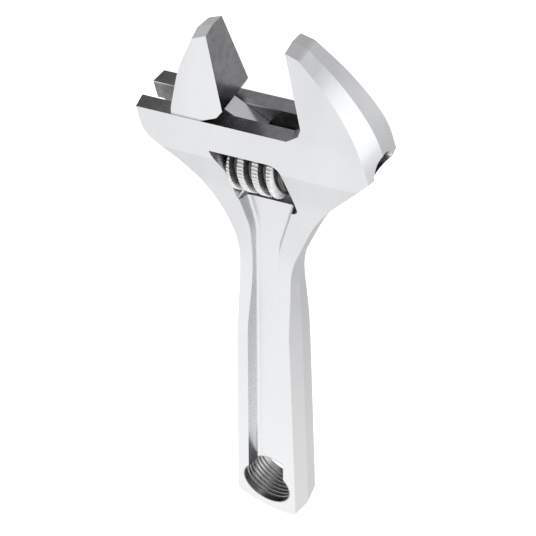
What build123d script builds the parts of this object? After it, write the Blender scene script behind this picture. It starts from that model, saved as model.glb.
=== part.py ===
"""Adjustable wrench: forged body, sliding hook jaw, knurled worm, worm pin and tension spring.

The wrench lies flat. +Y runs along the handle from the hang hole to the head, +Z is the
thickness, and the origin is the centre of the hang hole at mid thickness. The head has its
own plane, turned by jaw_angle: its x runs along the rails towards the fixed jaw, its y is
the depth of the jaws above the rails, and its origin is the foot of the fixed jaw's face.
"""
from build123d import *
import math
import os

# ---- Driving dimensions, in mm and degrees ----
# Overall
handle_reach = 163.3        # hang hole to the foot of the fixed jaw's face, along the handle
head_offset = 12.3          # the same, across the handle
jaw_angle = 15.0            # rails against the square to the handle
jaw_depth = 30.0            # jaw tips above the rails
opening = 24.9              # jaw opening as modelled
draft = 9.0                 # forging draft from the parting plane to both faces

# Thickness, each half of it
head_half = 7.56            # at and below the rails
tip_half = 4.2              # at the jaw tips
neck_half = 5.7             # under the polished face
waist_half = 3.4            # corner of the profile at the handle's thin waist
grip_half = 5.85            # where the handle has thickened again
butt_half = 6.0             # far below the hang hole
face_drop = 13.8            # rails to the lower edge of the polished face
neck_drop = 26.0            # rails to the neck
waist_drop = 60.0           # rails to the waist
grip_drop = 84.0            # rails to the top of the grip
face_blend = 40.0           # radius that blends the rails' faces into the jaw's
neck_blend = 60.0
waist_blend = 120.0

# Rails, slot and channel of the hook jaw's stem
rail_length = 55.4          # fixed jaw face to the open end of the rails
slot_half = 2.83
channel_radius = 5.0
channel_drop = 10.2         # rails to the channel's axis
root_height = 5.2           # foot of the fixed jaw's flat face above the rails
root_step = (1.3, 2.6)      # knee of the relief between that foot and the rails
root_run = 5.6              # the relief's run along the rails

# Worm window
window_left = 30.7          # fixed jaw face to the window's left wall
window_right = 10.9         # fixed jaw face to the window's right wall
window_top = 10.9
window_bottom = 31.0
window_corner = 2.0
window_flare = (3.0, 7.5)   # slanted relief beside the window's left wall: run, height
window_round = 3.5          # top right corner

# Handle recess, the same on both faces
recess_half_width = 5.7
recess_left = 6.4           # left edge beside the neck
recess_waist = 3.45         # right edge at the waist
recess_floor_half = 2.2     # half of the web's thickness
recess_draft = 17.0
recess_foot = 1.0           # the recess runs out in the hang hole this far past its axis
recess_spread = 4.0         # how much wider each side is where it meets the window
floor_fillet = 0.9

# Hang hole
hole_radius = 7.65
groove_depth = 0.45
groove_pitch = 1.3
groove_count = 7

# Worm
worm_radius = 7.7
worm_root_radius = 5.0
worm_drop = 20.8            # rails to the worm's axis
worm_lead = 4.7
worm_crest = 1.75           # crest width at worm_radius
worm_flank = 12.0           # flank angle of the thread
worm_phase = 26.4           # fixed jaw face to a crest on the side nearest the rails
worm_length = 17.0
worm_chamfer = 1.5
worm_end_gap = 0.1          # worm to the window's left wall

# Worm pin and tension spring
pin_radius = 2.0
pin_running_gap = 0.05      # radial, in the worm
pin_seat_gap = 0.02         # radial, in the body
pin_seat_depth = 4.5        # blind hole in the window's left wall
pin_thread_radius = 2.5
pin_thread_length = 9.0
pin_thread_start = 5.0      # fixed jaw face to the threaded part, towards the window
pin_slot_width = 0.8
pin_slot_depth = 1.2
pin_chamfer = 0.4
spring_pocket_radius = 3.5
spring_pocket_depth = 5.0
spring_wire_radius = 0.3
spring_coil_radius = 2.75
spring_turns = 6
spring_end_gap = 0.05

# Hook jaw
hook_depth = 28.6           # shoulder of the jaw's tip above the rails
jaw_base = 17.3             # length of the web and stem behind the working face
jaw_heel = 1.6              # the jaw's back beyond them
stem_front = 16.0           # stem's end ahead of the jaw's face
stem_gap = 0.07             # radial, in the channel
web_gap = 0.1               # each side, in the slot
seat_gap = 0.05             # jaw above the rails
bevel_step = (2.5, 2.5)     # knee of the bevel under the working face
bevel_run = 8.5
web_slope = (-3.0, 2.0), (6.8, -5.2)    # ramp from the bevel down to the stem
rack_gap = 0.35             # rack tooth to worm flank, along the channel
rack_tip_gap = 0.6          # rack tip to worm root, and worm crest to rack root

# Working room around the blanks
oversize = 60.0             # cutters reach this far past the metal
allowance = 3.0             # metal that machining takes off each working face
edge_break = 0.35           # chamfer on machined edges

os.makedirs("parts", exist_ok=True)

# ---- Shared geometry ----
turn = math.radians(jaw_angle)
head = Plane(
    origin=(head_offset, handle_reach, 0),
    x_dir=(math.cos(turn), math.sin(turn), 0),
    z_dir=(0, 0, 1),
)
# Looking along the rails towards the fixed jaw: x is -Z of the wrench, y is jaw depth.
along_rails = Plane(origin=head.origin, x_dir=(0, 0, -1), z_dir=head.x_dir)
depth_plane = Plane(origin=head.origin, x_dir=head.y_dir, z_dir=head.x_dir)
face_slope = (head_half - tip_half) / jaw_depth
worm_left = -window_left + worm_end_gap


def on_head(u, v, w=0.0):
    """The point at u along the rails, v above them and w off the mid plane."""
    return tuple(head.from_local_coords((u, v, w)))


def beside_head(x, below):
    """The point at x across the handle and this far below the jaw line."""
    return (x, handle_reach - below)


def rail_plane(u, v):
    """Plane square to the rails at u, with its origin v above them."""
    return Plane(origin=on_head(u, v), x_dir=along_rails.x_dir, z_dir=head.x_dir)


def rounded(corners):
    """Closed outline through (point, radius) corners."""
    points = [point for point, _ in corners]
    radii = [radius for _, radius in corners]
    return FilletPolyline(*points, radius=radii, close=True)


def inset(corners, distance):
    """The corners of a clockwise outline moved inward, with its arcs kept concentric."""
    moved = []
    for index, (point, radius) in enumerate(corners):
        corner = Vector(point)
        arriving = (corner - Vector(corners[index - 1][0])).normalized()
        leaving = (Vector(corners[(index + 1) % len(corners)][0]) - corner).normalized()
        inward = [Vector(way.Y, -way.X) for way in (arriving, leaving)]
        shift = (inward[0] + inward[1]) * (distance / (1 + inward[0].dot(inward[1])))
        bulges = arriving.cross(leaving).Z < 0
        growth = -distance if bulges else distance
        moved.append((tuple(corner + shift), radius + growth if radius else 0))
    return moved


def forging(corners, half_height):
    """Blank with its parting outline at mid thickness and drafted sides both ways."""
    run = half_height * math.tan(math.radians(draft))
    parting = rounded(corners)
    top = rounded(inset(corners, run))
    with BuildPart() as blank:
        with BuildSketch(Plane.XY):
            make_face(parting.edges())
        with BuildSketch(Plane.XY.offset(half_height)):
            make_face(top.edges())
        loft(ruled=True)
        mirror(about=Plane.XY)
    return blank.part


def thickness_profile():
    """Solid with the wrench's thickness at every depth, endless along the rails."""
    foot = -(handle_reach + oversize)
    top = jaw_depth + allowance * 2
    half = [
        ((foot, butt_half), 0),
        ((-grip_drop, grip_half), neck_blend),
        ((-waist_drop, waist_half), waist_blend),
        ((-neck_drop, neck_half), neck_blend),
        ((-face_drop, head_half), 0),
        ((0, head_half), face_blend),
        ((top, head_half - face_slope * top), 0),
    ]
    other = [((v, -w), radius) for (v, w), radius in reversed(half)]
    outline = rounded(half + other)
    with BuildPart() as profile:
        with BuildSketch(depth_plane):
            make_face(outline.edges())
        extrude(amount=handle_reach, both=True)
    return profile.part


thickness = thickness_profile()

# ---- Body: handle, rails and fixed jaw in one forging ----
butt = [
    ((10.9, -10.6), 2.5),
    ((0.5, -12.9), 30.0),
    ((-10.9, -9.6), 3.0),
]
left_side = [
    (beside_head(-10.3, 37.0), 42.0),
    (on_head(-rail_length - 0.4, -10.4), 8.0),
    (on_head(-rail_length, allowance), 0.0),
]
jaw_side = [
    (on_head(-root_run - allowance, allowance), 0.0),
    (on_head(-allowance, root_height + allowance), 0.0),
    (on_head(-allowance, jaw_depth + 1.9), 0.0),
    (on_head(4.3, jaw_depth - 0.7), 2.8),
    (on_head(14.1, jaw_depth - 13.7), 60.0),
    (on_head(19.2, 0.7), 38.0),
    (on_head(19.2, -10.05), 2.2),
]
right_side = [
    (beside_head(16.3, 31.6), 75.0),
    (beside_head(6.9, 60.8), 40.0),
    (beside_head(8.6, 100.3), 200.0),
]
body_corners = butt + left_side + jaw_side + right_side

# The recess follows the handle, leans a little with it and widens into the window.
recess_outline = rounded([
    ((-recess_half_width - 0.5, -recess_foot), 0.0),
    ((recess_half_width, -recess_foot), 0.0),
    (beside_head(recess_half_width - 0.8, 101.3), 300.0),
    (beside_head(recess_waist, 54.3), 30.0),
    (beside_head(recess_waist + recess_spread + 1.0, 29.8), 0.0),
    (beside_head(-recess_left - recess_spread + 0.3, 33.5), 0.0),
    (beside_head(-recess_left, 47.8), 22.0),
])
window_outline = rounded([
    ((-window_right, -window_top), window_round),
    ((-window_right, -window_bottom), window_corner),
    ((-window_left, -window_bottom), window_corner),
    ((-window_left, -window_top - window_flare[1]), 0.0),
    ((-window_left - window_flare[0], -window_top), 0.5),
])


def recess():
    """Drafted pocket in the front face of the handle, open above the face."""
    with BuildPart() as pocket:
        with BuildSketch(Plane.XY.offset(butt_half)):
            make_face(recess_outline.edges())
        extrude(amount=recess_floor_half - butt_half, taper=recess_draft)
        floor = pocket.faces().sort_by(Axis.Z)[0]
        fillet(floor.edges(), floor_fillet)
        with BuildSketch(Plane.XY.offset(butt_half)):
            make_face(recess_outline.edges())
        extrude(amount=head_half)
    return pocket.part


body_blank = forging(body_corners, head_half)
front_recess = recess()
back_recess = mirror(front_recess, about=Plane.XY)

with BuildPart() as body:
    add(body_blank)
    add(thickness, mode=Mode.INTERSECT)

    # Jaw face, root relief and rails
    with BuildSketch(head):
        with BuildLine():
            Polyline(
                (0, jaw_depth + oversize),
                (0, root_height),
                (-root_step[0], root_step[1]),
                (-root_run, 0),
                (-rail_length - oversize, 0),
                (-rail_length - oversize, jaw_depth + oversize),
                close=True,
            )
        make_face()
    extrude(amount=oversize, both=True, mode=Mode.SUBTRACT)

    # Slot between the rails, with a ramp under the fixed jaw for the hook jaw's web
    with BuildSketch(head):
        with BuildLine():
            Polyline(
                (-rail_length - oversize, root_height),
                (web_slope[0][0] - allowance / 2, root_height),
                (web_slope[0][0] + allowance, web_slope[0][1]),
                (web_slope[1][0] + allowance, web_slope[1][1]),
                (web_slope[1][0] + allowance, -channel_drop),
                (-rail_length - oversize, -channel_drop),
                close=True,
            )
        make_face()
    extrude(amount=slot_half, both=True, mode=Mode.SUBTRACT)

    # Channel for the stem, right through the head
    with BuildSketch(rail_plane(-rail_length - allowance, -channel_drop)):
        Circle(channel_radius)
    extrude(amount=rail_length + oversize, mode=Mode.SUBTRACT)

    # Worm window
    with BuildSketch(head):
        make_face(window_outline.edges())
    extrude(amount=oversize, both=True, mode=Mode.SUBTRACT)

    # Handle recesses
    add(front_recess, mode=Mode.SUBTRACT)
    add(back_recess, mode=Mode.SUBTRACT)

    # Hang hole, with turned grooves in its wall
    with BuildSketch(Plane.XY):
        Circle(hole_radius)
    extrude(amount=oversize, both=True, mode=Mode.SUBTRACT)
    for step in range(groove_count):
        level = (step - (groove_count - 1) / 2) * groove_pitch
        with BuildSketch(Plane.XZ):
            with BuildLine():
                Polyline(
                    (hole_radius - groove_depth, level - groove_pitch / 2),
                    (hole_radius + groove_depth, level),
                    (hole_radius - groove_depth, level + groove_pitch / 2),
                    close=True,
                )
            make_face()
        revolve(axis=Axis.Z, mode=Mode.SUBTRACT)

    # Pin holes
    with BuildSketch(rail_plane(-window_left - pin_seat_depth, -worm_drop)):
        Circle(pin_radius + pin_seat_gap)
    extrude(amount=window_left + pin_seat_depth, mode=Mode.SUBTRACT)
    with BuildSketch(rail_plane(-pin_thread_start, -worm_drop)):
        Circle(pin_thread_radius + pin_seat_gap)
    extrude(amount=oversize, mode=Mode.SUBTRACT)

body.part.label = "body"
export_step(body.part, "parts/body.step")

# ---- Worm pin ----
pin_end = pin_thread_length - pin_thread_start
with BuildPart() as worm_pin:
    with BuildSketch(rail_plane(-window_left - pin_seat_depth + pin_chamfer, -worm_drop)):
        Circle(pin_radius)
    extrude(amount=window_left + pin_seat_depth - pin_chamfer - pin_thread_start)
    with BuildSketch(rail_plane(-pin_thread_start, -worm_drop)):
        Circle(pin_thread_radius)
    extrude(amount=pin_thread_length)
    rims = worm_pin.edges().filter_by(GeomType.CIRCLE)
    chamfer(rims.sort_by(Axis(head.origin, head.x_dir))[0], pin_chamfer)
    with BuildSketch(rail_plane(pin_end, -worm_drop)):
        Rectangle(pin_slot_width, pin_thread_radius * 3)
    extrude(amount=-pin_slot_depth, mode=Mode.SUBTRACT)

worm_pin.part.label = "worm_pin"
export_step(worm_pin.part, "parts/worm_pin.step")

# ---- Hook jaw: sliding jaw, web and stem with its rack in one piece ----
hook_corners = [
    (on_head(-opening + allowance, hook_depth + 3.3), 0.0),
    (on_head(-opening + allowance, -allowance), 0.0),
    (on_head(-opening - jaw_base - jaw_heel, -allowance), 0.0),
    (on_head(-opening - jaw_base - jaw_heel, 1.5), 14.0),
    (on_head(-opening - 12.7, hook_depth - 11.6), 60.0),
    (on_head(-opening - 5.5, hook_depth), 2.5),
]
hook_blank = forging(hook_corners, head_half)


def thread_width(radius, gap=0.0):
    """Width of the worm's thread at a radius, with a gap on both sides."""
    spread = (worm_radius - radius) * math.tan(math.radians(worm_flank))
    return worm_crest + 2 * (spread + gap)


def rack_gaps():
    """Trapezoid tooth gaps under the stem, one worm lead apart and inclined with the thread."""
    lean = math.atan(worm_lead / (2 * math.pi * worm_radius))
    tip = worm_root_radius + rack_tip_gap
    root = worm_radius + rack_tip_gap
    first = -worm_phase
    while first - worm_lead > -opening - jaw_base - worm_lead:
        first -= worm_lead
    count = math.ceil((stem_front + jaw_base) / worm_lead) + 2
    way = head.x_dir * math.sin(lean) + head.z_dir * math.cos(lean)
    along = head.x_dir * math.cos(lean) - head.z_dir * math.sin(lean)
    with BuildPart() as gaps:
        for number in range(count):
            place = on_head(first + number * worm_lead, -worm_drop)
            with BuildSketch(Plane(origin=place, x_dir=along, z_dir=way)):
                with BuildLine():
                    Polyline(
                        (-thread_width(tip - worm_crest, rack_gap) / 2, tip - worm_crest),
                        (-thread_width(root, rack_gap) / 2, root),
                        (thread_width(root, rack_gap) / 2, root),
                        (thread_width(tip - worm_crest, rack_gap) / 2, tip - worm_crest),
                        close=True,
                    )
                make_face()
            extrude(amount=channel_radius * 2, both=True)
    return gaps.part


rack_tooth_gaps = rack_gaps()
rack_tip = -worm_drop + worm_root_radius + rack_tip_gap

with BuildPart() as hook_jaw:
    add(hook_blank)
    add(thickness, mode=Mode.INTERSECT)

    # Working face, bevel under it and the seat on the rails
    with BuildSketch(head):
        with BuildLine():
            Polyline(
                (-opening, jaw_depth + oversize),
                (-opening, root_height),
                (-opening - bevel_step[0], bevel_step[1]),
                (-opening - bevel_run, seat_gap),
                (-opening - jaw_base - oversize, seat_gap),
                (-opening - jaw_base - oversize, -oversize),
                (oversize, -oversize),
                (oversize, jaw_depth + oversize),
                close=True,
            )
        make_face()
    extrude(amount=oversize, both=True, mode=Mode.SUBTRACT)

    # Web down through the slot, with its ramp at the front
    with BuildSketch(head):
        with BuildLine():
            Polyline(
                (-opening - jaw_base, bevel_step[1]),
                (-opening - bevel_run, bevel_step[1] * 2),
                (-opening - bevel_step[0], bevel_step[1]),
                (-opening + web_slope[0][0], web_slope[0][1]),
                (-opening + web_slope[1][0], web_slope[1][1]),
                (-opening + web_slope[1][0], -channel_drop),
                (-opening - jaw_base, -channel_drop),
                close=True,
            )
        make_face()
    extrude(amount=slot_half - web_gap, both=True)

    # Stem in the channel
    with BuildSketch(rail_plane(-opening - jaw_base, -channel_drop)):
        Circle(channel_radius - stem_gap)
    extrude(amount=jaw_base + stem_front)
    add(rack_tooth_gaps, mode=Mode.SUBTRACT)

    # A larger stem is flat under its teeth, clear of the worm's root
    with BuildSketch(head):
        with Locations((-opening, rack_tip - oversize / 2)):
            Rectangle(oversize * 2, oversize)
    extrude(amount=oversize, both=True, mode=Mode.SUBTRACT)

hook_jaw.part.label = "hook_jaw"
export_step(hook_jaw.part, "parts/hook_jaw.step")

# ---- Worm: a right-hand screw with a pocket for the spring in its right end ----
def worm_turn(start):
    """One turn of the thread, from the side nearest the rails towards the front face."""
    inner = worm_root_radius - edge_break
    outer = worm_radius + edge_break
    origin = on_head(start, -worm_drop)
    axis_plane = Plane(origin=origin, x_dir=head.y_dir, z_dir=head.x_dir)
    path = axis_plane.location * Helix(worm_lead, worm_lead, inner)
    with BuildPart() as ridge:
        with BuildSketch(Plane(origin=origin, x_dir=head.y_dir, z_dir=-head.z_dir)):
            with BuildLine():
                Polyline(
                    (inner, -thread_width(inner) / 2),
                    (outer, -thread_width(outer) / 2),
                    (outer, thread_width(outer) / 2),
                    (inner, thread_width(inner) / 2),
                    close=True,
                )
            make_face()
        sweep(path=path, is_frenet=True)
    return ridge.part


def worm_thread(bar):
    """The turns of the thread that lie in the bar, cut to its shape."""
    first = worm_left - worm_lead * 2
    start = -worm_phase - worm_lead * math.ceil((-worm_phase - first) / worm_lead)
    cut_turns = []
    while start < worm_left + worm_length + worm_lead:
        inside = worm_turn(start) & bar
        if inside is not None and inside.solids():
            cut_turns += inside.solids()
        start += worm_lead
    return cut_turns


def worm_envelope():
    """The bar that the worm is cut from, chamfered at both ends."""
    with BuildPart() as bar:
        with BuildSketch(rail_plane(worm_left, -worm_drop)):
            Circle(worm_radius)
        extrude(amount=worm_length)
        chamfer(bar.edges().filter_by(GeomType.CIRCLE), worm_chamfer)
    return bar.part


thread_turns = worm_thread(worm_envelope())
pocket_start = worm_left + worm_length - spring_pocket_depth

with BuildPart() as worm:
    with BuildSketch(rail_plane(worm_left, -worm_drop)):
        Circle(worm_root_radius)
    extrude(amount=worm_length)
    add(thread_turns)
    with BuildSketch(rail_plane(worm_left, -worm_drop)):
        Circle(pin_radius + pin_running_gap)
    extrude(amount=worm_length, mode=Mode.SUBTRACT)
    with BuildSketch(rail_plane(pocket_start, -worm_drop)):
        Circle(spring_pocket_radius)
    extrude(amount=spring_pocket_depth, mode=Mode.SUBTRACT)

worm.part.label = "worm"
export_step(worm.part, "parts/worm.step")

# ---- Tension spring: coil on the pin, between the worm's pocket and the window's wall ----
spring_start = pocket_start + spring_end_gap + spring_wire_radius
spring_run = -window_right - spring_end_gap - spring_wire_radius - spring_start
spring_base = Plane(
    origin=on_head(spring_start, -worm_drop), x_dir=head.y_dir, z_dir=head.x_dir
)
spring_path = spring_base.location * Helix(spring_run / spring_turns, spring_run, spring_coil_radius)

with BuildPart() as tension_spring:
    with BuildSketch(Plane(origin=spring_path @ 0, z_dir=spring_path % 0)):
        Circle(spring_wire_radius)
    sweep(path=spring_path, is_frenet=True)

tension_spring.part.label = "tension_spring"
export_step(tension_spring.part, "parts/tension_spring.step")
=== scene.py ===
import math

import bpy
from mathutils import Matrix, Vector


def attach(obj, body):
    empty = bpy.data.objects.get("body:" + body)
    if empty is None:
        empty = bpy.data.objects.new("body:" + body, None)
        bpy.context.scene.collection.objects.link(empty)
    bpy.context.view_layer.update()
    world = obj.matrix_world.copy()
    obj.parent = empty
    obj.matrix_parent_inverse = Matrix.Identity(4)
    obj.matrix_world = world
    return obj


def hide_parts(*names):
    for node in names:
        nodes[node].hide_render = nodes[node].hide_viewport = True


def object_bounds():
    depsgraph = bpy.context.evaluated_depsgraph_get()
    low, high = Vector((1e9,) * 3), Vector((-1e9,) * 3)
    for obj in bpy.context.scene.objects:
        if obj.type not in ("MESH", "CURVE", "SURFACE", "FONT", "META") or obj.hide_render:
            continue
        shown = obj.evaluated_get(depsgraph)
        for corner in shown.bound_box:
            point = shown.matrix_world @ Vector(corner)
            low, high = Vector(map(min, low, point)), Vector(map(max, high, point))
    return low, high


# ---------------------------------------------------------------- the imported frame
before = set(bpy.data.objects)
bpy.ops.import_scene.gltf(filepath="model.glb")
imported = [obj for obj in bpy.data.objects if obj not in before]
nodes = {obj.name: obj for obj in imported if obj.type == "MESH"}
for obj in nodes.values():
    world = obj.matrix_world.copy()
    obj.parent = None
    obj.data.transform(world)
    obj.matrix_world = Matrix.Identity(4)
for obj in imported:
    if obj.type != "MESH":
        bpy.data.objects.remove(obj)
cad_lo, cad_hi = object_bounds()
scene = bpy.context.scene

# ---------------------------------------------------------------- camera
RIGHT = Vector((0.864950, -0.000355, -0.501857))
UP = Vector((-0.391456, 0.625285, -0.675116))
BACK = Vector((0.314043, 0.780396, 0.540702))
STAND = Vector((0.355293, 0.984360, 0.616859))
LENS = 273.49
SIDE_PANEL = Vector((0.941, 0.093, -0.311)).normalized()

# ---------------------------------------------------------------- the head's own axes
TURN = math.radians(15.0)
FOOT = Vector((0.0123, 0.1633, 0.0))
ALONG = Vector((math.cos(TURN), math.sin(TURN), 0.0))
DEPTH = Vector((-math.sin(TURN), math.cos(TURN), 0.0))
FRONT = Vector((0.0, 0.0, 1.0))
ACROSS = Vector((1.0, 0.0, 0.0))
HANDLE = Vector((0.0, 1.0, 0.0))
RAMP = ALONG * 0.592 + DEPTH * 0.806


def make_camera():
    data = bpy.data.cameras.new("photo_camera")
    data.lens = LENS
    data.sensor_width = 36.0
    data.clip_start = 0.05
    data.clip_end = 50.0
    cam = bpy.data.objects.new("photo_camera", data)
    scene.collection.objects.link(cam)
    m = Matrix((RIGHT, UP, BACK)).transposed().to_4x4()
    m.translation = STAND
    cam.matrix_world = m
    scene.camera = cam


# ---------------------------------------------------------------- node helpers
def tree_of(name):
    mat = bpy.data.materials.new(name)
    mat.use_nodes = True
    tree = mat.node_tree
    tree.nodes.clear()
    out = tree.nodes.new("ShaderNodeOutputMaterial")
    shader = tree.nodes.new("ShaderNodeBsdfPrincipled")
    tree.links.new(shader.outputs["BSDF"], out.inputs["Surface"])
    return mat, tree, shader


def object_coords(tree, scale=(1.0, 1.0, 1.0), turn=(0.0, 0.0, 0.0)):
    coords = tree.nodes.new("ShaderNodeTexCoord")
    mapping = tree.nodes.new("ShaderNodeMapping")
    mapping.inputs["Scale"].default_value = scale
    mapping.inputs["Rotation"].default_value = turn
    tree.links.new(coords.outputs["Object"], mapping.inputs["Vector"])
    return mapping.outputs["Vector"]


def noise(tree, where, scale, detail=4.0, rough=0.55):
    n = tree.nodes.new("ShaderNodeTexNoise")
    n.inputs["Scale"].default_value = scale
    n.inputs["Detail"].default_value = detail
    n.inputs["Roughness"].default_value = rough
    tree.links.new(where, n.inputs["Vector"])
    return n.outputs["Fac"]


def spread(tree, value, lo, hi, from_lo=0.3, from_hi=0.7):
    m = tree.nodes.new("ShaderNodeMapRange")
    m.inputs["From Min"].default_value = from_lo
    m.inputs["From Max"].default_value = from_hi
    m.inputs["To Min"].default_value = lo
    m.inputs["To Max"].default_value = hi
    tree.links.new(value, m.inputs["Value"])
    return m.outputs["Result"]


def mix_colour(tree, fac, a, b):
    """A blend from a to b; each is a colour or another node's output."""
    m = tree.nodes.new("ShaderNodeMix")
    m.data_type = "RGBA"
    for value, socket in ((a, m.inputs[6]), (b, m.inputs[7])):
        if isinstance(value, tuple):
            socket.default_value = (*value, 1.0)
        else:
            tree.links.new(value, socket)
    tree.links.new(fac, m.inputs[0])
    return m.outputs[2]


def add(tree, a, b):
    m = tree.nodes.new("ShaderNodeMath")
    m.operation = "ADD"
    tree.links.new(a, m.inputs[0])
    tree.links.new(b, m.inputs[1])
    return m.outputs["Value"]


def multiply(tree, a, b):
    m = tree.nodes.new("ShaderNodeMath")
    m.operation = "MULTIPLY"
    tree.links.new(a, m.inputs[0])
    tree.links.new(b, m.inputs[1])
    return m.outputs["Value"]


def reading(tree, socket, axis, origin=0.0, absolute=False):
    """How far a vector reaches along an axis, less its origin's reach."""
    d = tree.nodes.new("ShaderNodeVectorMath")
    d.operation = "DOT_PRODUCT"
    d.inputs[1].default_value = axis
    tree.links.new(socket, d.inputs[0])
    m = tree.nodes.new("ShaderNodeMath")
    m.operation = "SUBTRACT"
    m.inputs[1].default_value = origin
    tree.links.new(d.outputs["Value"], m.inputs[0])
    if not absolute:
        return m.outputs["Value"]
    a = tree.nodes.new("ShaderNodeMath")
    a.operation = "ABSOLUTE"
    tree.links.new(m.outputs["Value"], a.inputs[0])
    return a.outputs["Value"]


def head_readings(tree):
    """Sockets for the place along the rails, the depth above them, the side, and the normal."""
    coords = tree.nodes.new("ShaderNodeTexCoord")
    place, normal = coords.outputs["Object"], coords.outputs["Normal"]
    u = reading(tree, place, ALONG, FOOT.dot(ALONG))
    v = reading(tree, place, DEPTH, FOOT.dot(DEPTH))
    return u, v, place, normal


def bump(tree, height, strength, distance, under=None):
    b = tree.nodes.new("ShaderNodeBump")
    b.inputs["Strength"].default_value = strength
    b.inputs["Distance"].default_value = distance
    tree.links.new(height, b.inputs["Height"])
    if under is not None:
        tree.links.new(under, b.inputs["Normal"])
    return b.outputs["Normal"]


# ---------------------------------------------------------------- metals
# Brightness of the painted-shade copies at the rails' open end and in the hang hole.
DIMMED = 0.5
# Painted highlight: plate colours towards the butt and on its sides.
BUTT_HIGHLIGHT_PLATE = (0.68, 0.685, 0.695)
SIDE_HIGHLIGHT_PLATE = (0.84, 0.84, 0.85)
FACES_SQUARELY = (0.80, 0.95)
HOLE_EDGE = (0.00785, 0.0081)
WORM_GROOVE, WORM_CREST = 0.0056, 0.0074
FINE_GRAIN = 0.000012


def rails_mask(tree):
    """Masks for painted shade: one on the ground rail tops and one on the walls of the slot and
    channel, else nought.
    """
    u, v, place, normal = head_readings(tree)
    upward = spread(tree, reading(tree, normal, DEPTH), 0.0, 1.0, *FACES_SQUARELY)
    tops = multiply(tree, upward, spread(tree, v, 1.0, 0.0, 0.004, 0.006))
    below = spread(tree, v, 0.0, 1.0, -0.0165, -0.0155)
    inner = spread(tree, reading(tree, place, FRONT, 0.0, True), 1.0, 0.0, 0.0050, 0.0056)
    left = spread(tree, u, 1.0, 0.0, 0.0065, 0.0080)
    slot = multiply(tree, multiply(tree, inner, below), left)
    head_only = spread(tree, v, 1.0, 0.0, -0.0006, -0.0001)
    return tops, multiply(tree, slot, head_only), u, place, normal


def jaw_mask(tree):
    """Masks for painted shade: one on the ground working face and tip, and one on everything down
    in the slot.
    """
    u, v, place, normal = head_readings(tree)
    face = spread(tree, reading(tree, normal, ALONG), 0.0, 1.0, *FACES_SQUARELY)
    slot = spread(tree, v, 1.0, 0.0, -0.0002, 0.0010)
    off_ramp = spread(tree, reading(tree, normal, RAMP), 1.0, 0.0, 0.93, 0.98)
    return face, multiply(tree, slot, off_ramp), u, place, normal


def shaded_copy(tree, colour):
    """A painted-shade copy: the same colour at part of its brightness."""
    m = tree.nodes.new("ShaderNodeVectorMath")
    m.operation = "SCALE"
    m.inputs["Scale"].default_value = DIMMED
    tree.links.new(colour, m.inputs[0])
    return m.outputs["Vector"]


def hole_shade_mask(tree, place):
    """One on the wall of the hang hole, where painted shade darkens the plate."""
    across = reading(tree, place, ACROSS)
    along = reading(tree, place, HANDLE)
    square = add(tree, multiply(tree, across, across), multiply(tree, along, along))
    return spread(tree, square, 1.0, 0.0, HOLE_EDGE[0] ** 2, HOLE_EDGE[1] ** 2)


def butt_highlight(tree, plate, place, normal):
    """Plate with a painted highlight: brighter towards the butt, most of all on its sides."""
    low = reading(tree, place, HANDLE)
    butt_lit = mix_colour(tree, spread(tree, low, 1.0, 0.0, 0.01, 0.12), plate, BUTT_HIGHLIGHT_PLATE)
    side = spread(tree, reading(tree, normal, ACROSS), 0.0, 1.0, 0.6, 0.9)
    side_lit = multiply(tree, side, spread(tree, low, 1.0, 0.0, 0.015, 0.085))
    return mix_colour(tree, side_lit, butt_lit, SIDE_HIGHLIGHT_PLATE)


def plated_steel(name, light, dark, rough, grain, waviness, mask, ground_and_shade, slot_shade):
    """Chrome plate over a forging, with a painted highlight towards the butt, ground faces darker
    as machined steel and by painted shade, and painted shade in the dull slot and the hang hole.
    """
    mat, tree, shader = tree_of(name)
    where = object_coords(tree)
    stretched = object_coords(tree, (1.0, 0.25, 1.0))
    cloud = noise(tree, stretched, 60.0, 3.0)
    speck = noise(tree, where, 2600.0, 2.0, 0.6)
    patch = noise(tree, where, 420.0, 4.0, 0.7)
    face, slot, u, place, normal = mask(tree)
    shader.inputs["Metallic"].default_value = 1.0
    clouded = mix_colour(tree, spread(tree, cloud, 0.0, 1.0), dark, light)
    # Painted highlight on the plate towards the butt.
    plate = butt_highlight(tree, clouded, place, normal)
    # Ground faces: machined steel, darkened further by painted shade.
    ground_shaded = mix_colour(tree, spread(tree, patch, 0.0, 1.0), ground_and_shade[0], ground_and_shade[1])
    # Painted shade: the ground faces darken towards the rails' open end.
    open_end = spread(tree, u, 1.0, 0.0, -0.052, -0.022)
    ground_shaded = mix_colour(tree, open_end, ground_shaded, shaded_copy(tree, ground_shaded))
    # Painted shade down in the slot and channel; the extra roughness there makes the slot dull.
    shaded_slot = mix_colour(tree, spread(tree, patch, 0.0, 1.0), slot_shade[0], slot_shade[1])
    colour = mix_colour(tree, slot, mix_colour(tree, face, plate, ground_shaded), shaded_slot)
    # Painted shade: the wall of the hang hole at part of its brightness.
    colour = mix_colour(tree, hole_shade_mask(tree, place), colour, shaded_copy(tree, colour))
    tree.links.new(colour, shader.inputs["Base Color"])
    mixed = add(tree, spread(tree, cloud, rough[0], rough[1]), spread(tree, speck, -0.03, 0.05))
    worn = add(tree, mixed, multiply(tree, slot, spread(tree, patch, 0.10, 0.25)))
    tree.links.new(worn, shader.inputs["Roughness"])
    swell = bump(tree, noise(tree, where, 130.0, 2.0), 1.0, waviness)
    fine = bump(tree, speck, 1.0, grain, swell)
    tree.links.new(fine, shader.inputs["Normal"])
    return mat


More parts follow.
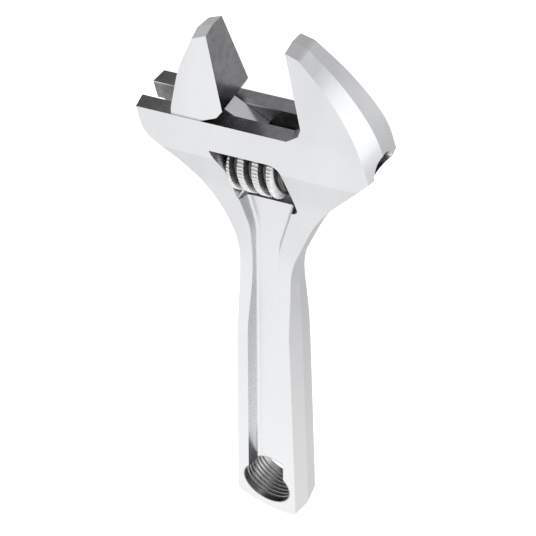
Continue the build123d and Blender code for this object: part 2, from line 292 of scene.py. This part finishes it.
def turned_steel(name, light, dark, rough):
    """Bare machined steel with fine tool lines along its own grain and a few dark specks."""
    mat, tree, shader = tree_of(name)
    where = object_coords(tree)
    turn = (0.0, 0.0, -TURN)
    lines = noise(tree, object_coords(tree, (1.0, 0.06, 0.06), turn), 5200.0, 2.0)
    cloud = noise(tree, where, 220.0, 4.0)
    shader.inputs["Metallic"].default_value = 1.0
    colour = mix_colour(tree, spread(tree, cloud, 0.0, 1.0), dark, light)
    tree.links.new(colour, shader.inputs["Base Color"])
    mixed = add(tree, spread(tree, cloud, rough[0], rough[1]), spread(tree, lines, -0.05, 0.06))
    tree.links.new(mixed, shader.inputs["Roughness"])
    tree.links.new(bump(tree, lines, 1.0, FINE_GRAIN), shader.inputs["Normal"])
    return mat


def crest_groove_worm():
    """Machined steel, darker in the grooves and lighter on the crests."""
    mat, tree, shader = tree_of("worm_steel")
    place = object_coords(tree)
    v = reading(tree, place, DEPTH, FOOT.dot(DEPTH) - WORM_DROP)
    w = reading(tree, place, FRONT)
    square = add(tree, multiply(tree, v, v), multiply(tree, w, w))
    height = spread(tree, square, 0.0, 1.0, WORM_GROOVE ** 2, WORM_CREST ** 2)
    cloud = noise(tree, place, 700.0, 4.0, 0.65)
    groove = mix_colour(tree, spread(tree, cloud, 0.0, 1.0), (0.13, 0.13, 0.13), (0.26, 0.26, 0.26))
    crest = mix_colour(tree, spread(tree, cloud, 0.0, 1.0), (0.66, 0.66, 0.67), (0.86, 0.86, 0.87))
    tree.links.new(mix_colour(tree, height, groove, crest), shader.inputs["Base Color"])
    shader.inputs["Metallic"].default_value = 1.0
    turn = (0.0, 0.0, -TURN)
    lines = noise(tree, object_coords(tree, (1.0, 0.06, 0.06), turn), 5200.0, 2.0)
    rough = add(tree, spread(tree, cloud, 0.22, 0.36), spread(tree, lines, -0.04, 0.05))
    tree.links.new(rough, shader.inputs["Roughness"])
    tree.links.new(bump(tree, lines, 1.0, FINE_GRAIN), shader.inputs["Normal"])
    return mat


def paint(piece, mat):
    piece.data.materials.clear()
    piece.data.materials.append(mat)


# ---------------------------------------------------------------- the knurled worm
WORM_DROP = 0.0208
WORM_LEFT = -0.0306
WORM_LENGTH = 0.0170
LEAD = 0.0047
CREST_AT = -0.0264
CREST_RADIUS = 0.00768
ROOT_RADIUS = 0.0050
CREST_HALF = 0.000875
FLANK_RUN = 0.000574
BORE_RADIUS = 0.00206
POCKET_RADIUS = 0.0035
POCKET_DEPTH = 0.0049
TEETH = 46
TOOTH_DEPTH = 0.00042


def smooth(t):
    t = min(1.0, max(0.0, t))
    return t * t * (3.0 - 2.0 * t)


def worm_reach(s, angle):
    """Radius of the worm at s along it and at an angle from the rails' side to the front."""
    off = (WORM_LEFT + s - CREST_AT - LEAD * angle / (2.0 * math.pi)) / LEAD
    near = abs(off - round(off)) * LEAD
    rise = 1.0 - smooth((near - CREST_HALF) / FLANK_RUN)
    tooth = 0.5 - 0.5 * math.cos(TEETH * angle)
    notch = TOOTH_DEPTH * tooth ** 1.6 * (1.0 - smooth((near - CREST_HALF * 0.9) / 0.0002))
    crest = CREST_RADIUS - notch
    return ROOT_RADIUS + (crest - ROOT_RADIUS) * rise


def worm_profile():
    """(s, radius limit or None) steps from the bore's left end, over the outside, and back."""
    steps = [(0.0, BORE_RADIUS), (0.0, 0.0040), (0.0, 0.0055)]
    count = 190
    for i in range(count + 1):
        steps.append((WORM_LENGTH * i / count, None))
    end = WORM_LENGTH
    steps += [(end, 0.0042), (end, POCKET_RADIUS), (end - POCKET_DEPTH, POCKET_RADIUS)]
    steps += [(end - POCKET_DEPTH, BORE_RADIUS), (end * 0.4, BORE_RADIUS)]
    return steps


def make_worm():
    around = TEETH * 8
    steps = worm_profile()
    verts, faces = [], []
    centre = FOOT - DEPTH * WORM_DROP + ALONG * WORM_LEFT
    for s, fixed in steps:
        limit = min(0.0070 + s, 0.0054 + (WORM_LENGTH - s) * 0.9)
        for j in range(around):
            angle = 2.0 * math.pi * j / around
            radius = fixed if fixed is not None else min(worm_reach(s, angle), limit)
            out = DEPTH * math.cos(angle) + FRONT * math.sin(angle)
            verts.append(centre + ALONG * s + out * radius)
    rows = len(steps)
    for i in range(rows):
        for j in range(around):
            a, b = i * around + j, i * around + (j + 1) % around
            c, d = ((i + 1) % rows) * around + (j + 1) % around, ((i + 1) % rows) * around + j
            faces.append((a, b, c, d))
    mesh = bpy.data.meshes.new("knurled_worm")
    mesh.from_pydata([tuple(v) for v in verts], [], faces)
    for p in mesh.polygons:
        p.use_smooth = True
    mesh.update()
    worm = bpy.data.objects.new("knurled_worm", mesh)
    scene.collection.objects.link(worm)
    return worm


# ---------------------------------------------------------------- world, floor and lights
def make_world():
    """A white tent: brightest low down, darker overhead and behind, with one panel at the side."""
    world = bpy.data.worlds.new("tent")
    world.use_nodes = True
    scene.world = world
    tree = world.node_tree
    tree.nodes.clear()
    out = tree.nodes.new("ShaderNodeOutputWorld")
    glow = tree.nodes.new("ShaderNodeBackground")
    coords = tree.nodes.new("ShaderNodeTexCoord")
    tree.links.new(glow.outputs["Background"], out.inputs["Surface"])

    def toward(direction):
        d = tree.nodes.new("ShaderNodeVectorMath")
        d.operation = "DOT_PRODUCT"
        d.inputs[1].default_value = direction
        tree.links.new(coords.outputs["Generated"], d.inputs[0])
        return d.outputs["Value"]

    ramp = tree.nodes.new("ShaderNodeValToRGB")
    stops = [(0.0, 1.30), (0.14, 1.25), (0.30, 1.02), (0.46, 1.0), (0.75, 0.80), (1.0, 0.60)]
    ramp.color_ramp.elements[0].position = stops[0][0]
    ramp.color_ramp.elements[1].position = stops[-1][0]
    for pos, _ in stops[1:-1]:
        ramp.color_ramp.elements.new(pos)
    for element, (_, v) in zip(ramp.color_ramp.elements, stops):
        element.color = (v, v, v, 1.0)
    tree.links.new(spread(tree, toward(UP), 0.0, 1.0, -1.0, 1.0), ramp.inputs["Fac"])
    panel = spread(tree, toward(SIDE_PANEL), 0.0, 0.75, 0.86, 0.96)
    under = spread(tree, toward(BACK), 0.72, 1.0, -0.75, -0.35)
    shaded = multiply(tree, ramp.outputs["Color"], under)
    tree.links.new(add(tree, shaded, panel), glow.inputs["Color"])
    glow.inputs["Strength"].default_value = 1.0


def make_floor(level):
    half = 6.0
    mesh = bpy.data.meshes.new("floor")
    corners = [(x * half, y * half, level) for x, y in ((-1, -1), (1, -1), (1, 1), (-1, 1))]
    mesh.from_pydata(corners, [], [(0, 1, 2, 3)])
    floor = bpy.data.objects.new("floor", mesh)
    scene.collection.objects.link(floor)
    mat, tree, shader = tree_of("floor_paper")
    shader.inputs["Base Color"].default_value = (0.9, 0.9, 0.9, 1.0)
    shader.inputs["Roughness"].default_value = 0.9
    shader.inputs["Emission Color"].default_value = (1.0, 1.0, 1.0, 1.0)
    shader.inputs["Emission Strength"].default_value = 0.75
    mesh.materials.append(mat)
    floor.visible_glossy = False


def soft_light(name, direction, distance, size, power):
    """A square softbox that faces the middle of the object."""
    data = bpy.data.lights.new(name, "AREA")
    data.shape = "SQUARE"
    data.size = size
    data.energy = power
    lamp = bpy.data.objects.new(name, data)
    scene.collection.objects.link(lamp)
    middle = (cad_lo + cad_hi) / 2
    away = direction.normalized()
    lamp.location = middle + away * distance
    lamp.rotation_euler = away.to_track_quat("Z", "Y").to_euler()


# ---------------------------------------------------------------- build
FLOOR_GAP = 0.0002
make_camera()
make_world()
make_floor(cad_lo.z - FLOOR_GAP)
soft_light("low_box", Vector((-0.126, -0.402, 0.216)), 0.42, 0.26, 0.03)
scene.view_settings.view_transform = "Standard"

# Ground faces: machined steel colours made darker by painted shade.
ground_and_shade = ((0.20, 0.20, 0.21), (0.30, 0.30, 0.31))
jaw_ground_and_shade = ((0.16, 0.16, 0.165), (0.25, 0.25, 0.26))
# Painted shade for the walls of the slot and channel.
slot_shade = ((0.12, 0.12, 0.12), (0.30, 0.30, 0.31))
forged = plated_steel(
    "forged_chrome", (0.65, 0.655, 0.67), (0.58, 0.585, 0.60), (0.20, 0.32),
    0.000010, 0.00006, rails_mask, ground_and_shade, slot_shade,
)
jaw_plate = plated_steel(
    "jaw_chrome", (0.68, 0.685, 0.695), (0.60, 0.605, 0.62), (0.16, 0.26),
    0.000006, 0.00004, jaw_mask, jaw_ground_and_shade, slot_shade,
)
worm_metal = crest_groove_worm()
pin_metal = turned_steel("pin_steel", (0.62, 0.62, 0.63), (0.46, 0.46, 0.47), (0.24, 0.38))
spring_metal = turned_steel("spring_steel", (0.50, 0.50, 0.50), (0.36, 0.36, 0.37), (0.22, 0.34))

worm = make_worm()
paint(worm, worm_metal)
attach(worm, "worm_screw")
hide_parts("worm")

paint(nodes["body"], forged)
paint(nodes["hook_jaw"], jaw_plate)
paint(nodes["worm"], worm_metal)
paint(nodes["worm_pin"], pin_metal)
paint(nodes["tension_spring"], spring_metal)
